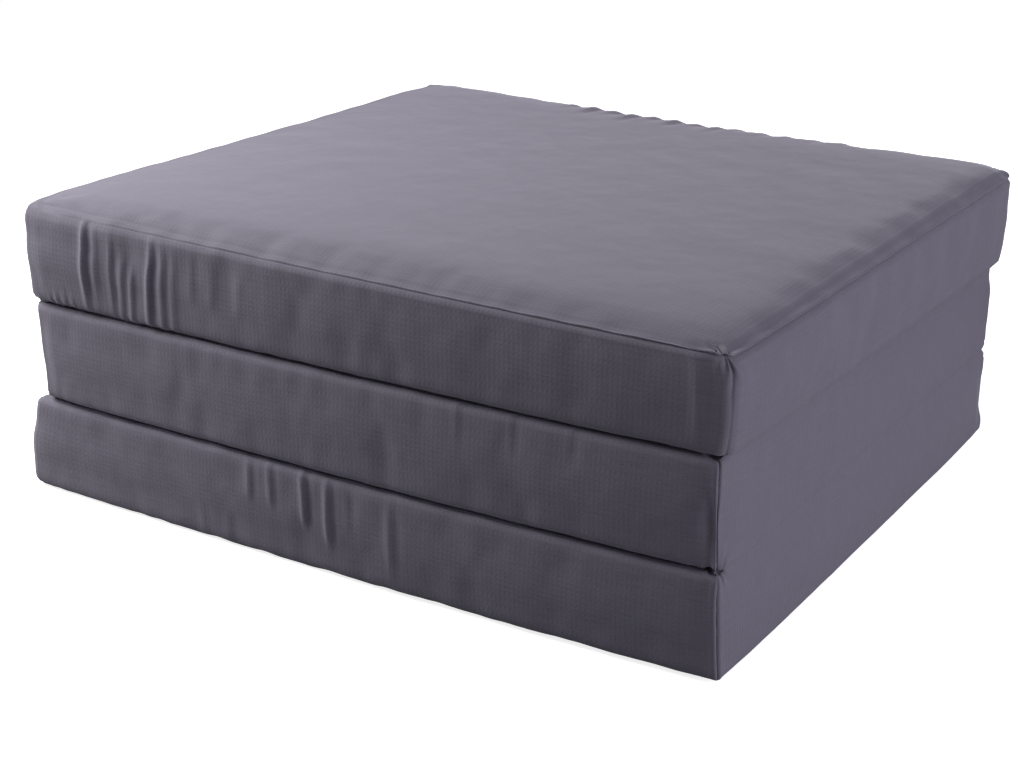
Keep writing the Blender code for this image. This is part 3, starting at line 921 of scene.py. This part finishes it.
def make_tape(panel, side):
    """One woven tape: a narrow grid that faces backwards and runs on under the end boxing."""
    low, high = tape_box(panel, side)
    bm = bmesh.new()
    bmesh.ops.create_grid(bm, x_segments=180, y_segments=8, size=0.5)
    bmesh.ops.rotate(bm, matrix=Matrix.Rotation(math.radians(-90), 3, "X"), verts=bm.verts)
    bmesh.ops.scale(bm, vec=(high.x - low.x, 1, high.z - low.z), verts=bm.verts)
    middle = (low + high) / 2
    bmesh.ops.translate(bm, vec=(middle.x, high.y, middle.z), verts=bm.verts)
    layer = bm.loops.layers.uv.new("cloth")
    for face in bm.faces:
        for loop in face.loops:
            loop[layer].uv = (loop.vert.co.x, loop.vert.co.z)
    late = 2 if side == "upper" else 0
    for vert in bm.verts:
        x = vert.co.x
        vert.co.y += TAPE_WAVE * math.sin(x * 95 + late) * math.sin(x * 31)
    return finish_cloth(f"zip_{panel}_tape_{side}", to_mesh(bm, "tape"), TAPE_CLOTH)


tapes = {at: make_tape(*at) for at in SIDES}
print("zip tapes:", len(tapes))

# %% Zip coils
LOOP_PITCH = 0.0014
WIRE_RADIUS = 0.00036


def repeat(mesh, count, step, merge=False):
    """A mesh repeated in a row along X."""
    thing = add_object("row", mesh)
    row = thing.modifiers.new("row", "ARRAY")
    row.count = count
    row.use_relative_offset = False
    row.use_constant_offset = True
    row.constant_offset_displace = (step, 0, 0)
    row.use_merge_vertices = merge
    row.merge_threshold = 1e-5
    graph = bpy.context.evaluated_depsgraph_get()
    longer = bpy.data.meshes.new_from_object(thing.evaluated_get(graph))
    bpy.data.objects.remove(thing)
    return longer


def make_coil(panel, side):
    """A flat wound rod along one edge of the chain."""
    low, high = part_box(f"{panel}_zip_coil_{side}")
    bm = bmesh.new()
    ring = bmesh.ops.create_circle(bm, segments=5, radius=WIRE_RADIUS)
    bmesh.ops.translate(bm, vec=(0, 0.0010, 0), verts=ring["verts"])
    bmesh.ops.spin(bm, geom=bm.verts[:] + bm.edges[:], cent=(0, 0, 0), axis=(1, 0, 0),
                   dvec=(LOOP_PITCH / 7, 0, 0), angle=2 * math.pi, steps=7, use_merge=False)
    bmesh.ops.scale(bm, vec=(1, 0.85, 1.55), verts=bm.verts)
    count = int((high.x - low.x) / LOOP_PITCH) - 1
    row = repeat(to_mesh(bm, "turn"), count, LOOP_PITCH, merge=True)
    bm = bmesh.new()
    bm.from_mesh(row)
    bmesh.ops.holes_fill(bm, edges=[e for e in bm.edges if e.is_boundary], sides=0)
    bmesh.ops.recalc_face_normals(bm, faces=bm.faces)
    late = LOOP_PITCH / 2 if side == "upper" else 0
    place = Vector((low.x + late, (low.y + high.y) / 2, (low.z + high.z) / 2 - SIGN[side] * 0.0003))
    bmesh.ops.translate(bm, vec=place, verts=bm.verts)
    bm.to_mesh(row)
    bm.free()
    return put_in_scene(f"zip_{panel}_coil_{side}", row)


coils = {at: make_coil(*at) for at in SIDES}
print("zip coils:", len(coils), "faces each:", len(coils["top", "upper"].data.polygons))

# %% [markdown]
# Two rows of lockstitch hold the boxing to the tapes. A stitch is a tiny long bead, and
# the row follows the surface of the cloth under it.

# %% Stitches beside the zips
STITCH_PITCH = 0.0034
STITCH_FROM_ZIP = 0.0022
BEAD = (0.0014, 0.00028, 0.00034)           # half sizes of one stitch


def make_stitches(panel, side):
    """A row of stitches just outside the zip opening."""
    boxing = cover[panel, f"back_boxing_{side}"].data
    low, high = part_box(f"{panel}_back_boxing_{side}")
    bm = bmesh.new()
    bmesh.ops.create_icosphere(bm, subdivisions=1, radius=1.0)
    bmesh.ops.scale(bm, vec=BEAD, verts=bm.verts)
    length = high.x - low.x - 0.012
    row = repeat(to_mesh(bm, "bead"), int(length / STITCH_PITCH), STITCH_PITCH)
    points = read_points(row)
    tree = BVHTree.FromPolygons([vert.co for vert in boxing.vertices],
                                [face.vertices[:] for face in boxing.polygons])
    z = CENTRE_Z[panel] + SIGN[side] * (zip_half + STITCH_FROM_ZIP)
    start = low.x + 0.007
    for number, point in enumerate(points):
        hit = tree.ray_cast(Vector((start + point[0], high.y + 0.05, z)), Vector((0, -1, 0)))[0]
        ground = hit.y if hit else high.y
        points[number] = (start + point[0], ground + point[1], z + point[2])
    write_points(row, points)
    return put_in_scene(f"stitches_{panel}_{side}", row)


stitches = {at: make_stitches(*at) for at in SIDES}
print("stitch rows:", len(stitches))

# %% [markdown]
# ## Cover cloth
# The cover is a plain weave of polyester yarn in dark purple-grey. Its yarns differ a
# little in shade, which gives faint streaks along the cloth and small flecks. A soft
# sheen shows where the surface is seen at a low angle.

# %% Cover material
def add(nodes, kind, **values):
    """A new node with some of its inputs or settings."""
    node = nodes.new(kind)
    for key, value in values.items():
        if hasattr(node, key):
            setattr(node, key, value)
        else:
            node.inputs[key.replace("_", " ")].default_value = value
    return node


def two_tones(nodes, dark, light, low=0.0, high=1.0):
    """A colour ramp from a dark shade to a light one."""
    ramp = add(nodes, "ShaderNodeValToRGB")
    for element, place, shade in zip(ramp.color_ramp.elements, (low, high), (dark, light)):
        element.position = place
        element.color = (*shade, 1)
    return ramp


def calculate(nodes, links, operation, first, second):
    """The output of a Math node. Each input is another node's output, or a number."""
    step = add(nodes, "ShaderNodeMath", operation=operation)
    for socket, value in zip(step.inputs, (first, second)):
        if isinstance(value, float):
            socket.default_value = value
        else:
            links.new(value, socket)
    return step.outputs[0]


# Each grain: how far it is stretched, its detail, and its weight in the shade
GRAINS = [((40, 1300, 1), 3.0, 0.30), ((1100, 40, 1), 3.0, 0.20),
          ((9, 11, 1), 2.0, 0.06), ((1500, 1300, 1), 1.0, 0.55)]


def make_cloth(name, dark, light, yarn=0.00065, sheen=0.24):
    """Woven cloth from two shades of one colour. Coordinates are metres on the cloth."""
    material, nodes, links, shader = new_material(name)
    place = add(nodes, "ShaderNodeUVMap", uv_map="cloth")
    total = None
    for stretch, detail, weight in GRAINS:
        scale = add(nodes, "ShaderNodeMapping")
        scale.inputs["Scale"].default_value = stretch
        grain = add(nodes, "ShaderNodeTexNoise", Scale=1.0, Detail=detail)
        links.new(place.outputs["UV"], scale.inputs["Vector"])
        links.new(scale.outputs["Vector"], grain.inputs["Vector"])
        share = calculate(nodes, links, "MULTIPLY", grain.outputs["Fac"], weight)
        total = share if total is None else calculate(nodes, links, "ADD", total, share)
    ramp = two_tones(nodes, dark, light, 0.35, 0.75)
    links.new(total, ramp.inputs["Fac"])
    links.new(ramp.outputs["Color"], shader.inputs["Base Color"])

    heights = []
    for direction in ("X", "Y"):
        wave = add(nodes, "ShaderNodeTexWave", wave_type="BANDS", bands_direction=direction,
                   Scale=1 / (yarn * 20), Distortion=0.6, Detail=1.0)
        links.new(place.outputs["UV"], wave.inputs["Vector"])
        heights.append(wave.outputs["Fac"])
    bump = add(nodes, "ShaderNodeBump", Strength=0.35, Distance=0.00025)
    links.new(calculate(nodes, links, "MAXIMUM", *heights), bump.inputs["Height"])
    crumple = add(nodes, "ShaderNodeTexNoise", Scale=55.0, Detail=4.0)
    links.new(place.outputs["UV"], crumple.inputs["Vector"])
    soft = add(nodes, "ShaderNodeBump", Strength=0.25, Distance=0.0012)
    links.new(crumple.outputs["Fac"], soft.inputs["Height"])
    links.new(bump.outputs["Normal"], soft.inputs["Normal"])
    links.new(soft.outputs["Normal"], shader.inputs["Normal"])
    shader.inputs["Roughness"].default_value = 0.85
    shader.inputs["Specular IOR Level"].default_value = 0.25
    shader.inputs["Sheen Weight"].default_value = sheen
    shader.inputs["Sheen Roughness"].default_value = 0.45
    shader.inputs["Sheen Tint"].default_value = (0.86, 0.84, 0.95, 1)
    return material


cover_material = make_cloth("cover_cloth", (0.092, 0.085, 0.110), (0.140, 0.131, 0.163))

# %% Foam material
foam_material, nodes, links, shader = new_material("open_cell_foam")
place = add(nodes, "ShaderNodeTexCoord")
cells = add(nodes, "ShaderNodeTexVoronoi", Scale=900.0)
links.new(place.outputs["Object"], cells.inputs["Vector"])
# The cells are darkest in the pits of the pores, where the bump below is lowest: this is painted
# shade.
tone = two_tones(nodes, (0.62, 0.56, 0.42), (0.82, 0.77, 0.62))
links.new(cells.outputs["Distance"], tone.inputs["Fac"])
links.new(tone.outputs["Color"], shader.inputs["Base Color"])
pores = add(nodes, "ShaderNodeBump", Strength=0.5, Distance=0.0004)
links.new(cells.outputs["Distance"], pores.inputs["Height"])
links.new(pores.outputs["Normal"], shader.inputs["Normal"])
shader.inputs["Roughness"].default_value = 0.95

# %% [markdown]
# ## Finishes of the zips
# The tapes are a finer and darker weave than the cover. The coils are smooth nylon, the
# thread is matt, and the slider, its pull and the stops are cast metal with a dark finish
# that has rubbed a little brighter in spots.

# %% Zip materials
tape_material = make_cloth("zip_tape", (0.050, 0.046, 0.060), (0.085, 0.079, 0.100),
                           yarn=0.00035, sheen=0.2)


def make_plain(name, dark, light, roughness, metallic=0.0, scale=400.0, bump=0.3):
    """A finish with a fine grain of two shades, on Object coordinates."""
    material, nodes, links, shader = new_material(name)
    place = add(nodes, "ShaderNodeTexCoord")
    grain = add(nodes, "ShaderNodeTexNoise", Scale=scale, Detail=3.0)
    links.new(place.outputs["Object"], grain.inputs["Vector"])
    tone = two_tones(nodes, dark, light, 0.35, 0.70)
    links.new(grain.outputs["Fac"], tone.inputs["Fac"])
    links.new(tone.outputs["Color"], shader.inputs["Base Color"])
    spread = add(nodes, "ShaderNodeMapRange")
    spread.inputs["To Min"].default_value = roughness * 0.8
    spread.inputs["To Max"].default_value = min(1.0, roughness * 1.2)
    links.new(grain.outputs["Fac"], spread.inputs["Value"])
    links.new(spread.outputs["Result"], shader.inputs["Roughness"])
    relief = add(nodes, "ShaderNodeBump", Strength=bump, Distance=0.0001)
    links.new(grain.outputs["Fac"], relief.inputs["Height"])
    links.new(relief.outputs["Normal"], shader.inputs["Normal"])
    shader.inputs["Metallic"].default_value = metallic
    return material


coil_material = make_plain("zip_nylon", (0.035, 0.032, 0.042), (0.060, 0.056, 0.070),
                           0.40, scale=900)
thread_material = make_plain("thread", (0.080, 0.074, 0.095), (0.150, 0.140, 0.175),
                             0.75, scale=2500, bump=0.6)
metal_material = make_plain("dark_cast_metal", (0.16, 0.16, 0.17), (0.34, 0.33, 0.34),
                            0.38, metallic=1.0, scale=700)
print("materials:", [m.name for m in bpy.data.materials][:12])

# %% [markdown]
# ## Say what moves with what
# Each piece rides on its panel. A gusset crosses a fold, so it is left where it lies, on no body.

# %% Ride and replace
for (panel, piece), thing in cover.items():
    thing.data.materials.append(cover_material)
    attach(thing, f"{panel}_panel")
    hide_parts(f"{panel}_{piece}")
for panel, thing in foam.items():
    thing.data.materials.append(foam_material)
    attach(thing, f"{panel}_panel")
    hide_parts(f"{panel}_foam_core")

for (panel, side), thing in tapes.items():
    thing.data.materials.append(tape_material)
    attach(thing, f"{panel}_panel")
    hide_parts(f"{panel}_zip_tape_{side}")
    coil = coils[panel, side]
    coil.data.materials.append(coil_material)
    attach(coil, f"{panel}_panel")
    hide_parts(f"{panel}_zip_coil_{side}")
    row = stitches[panel, side]
    row.data.materials.append(thread_material)
    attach(row, f"{panel}_panel")
for panel in HINGES:
    for part in ("stop_left", "stop_right", "slider", "pull"):
        for slot in bpy.data.objects[f"{panel}_zip_{part}"].material_slots:
            slot.material = metal_material

for thing, low_panel, high_panel, fold_z, fold in (
        (lower_gusset, "bottom", "middle", lower_fold_z, "lower"),
        (upper_gusset, "middle", "top", upper_fold_z, "upper")):
    thing.data.materials.append(cover_material)
    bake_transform(thing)
    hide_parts(f"{fold}_hinge_gusset_{low_panel}_half", f"{fold}_hinge_gusset_{high_panel}_half")
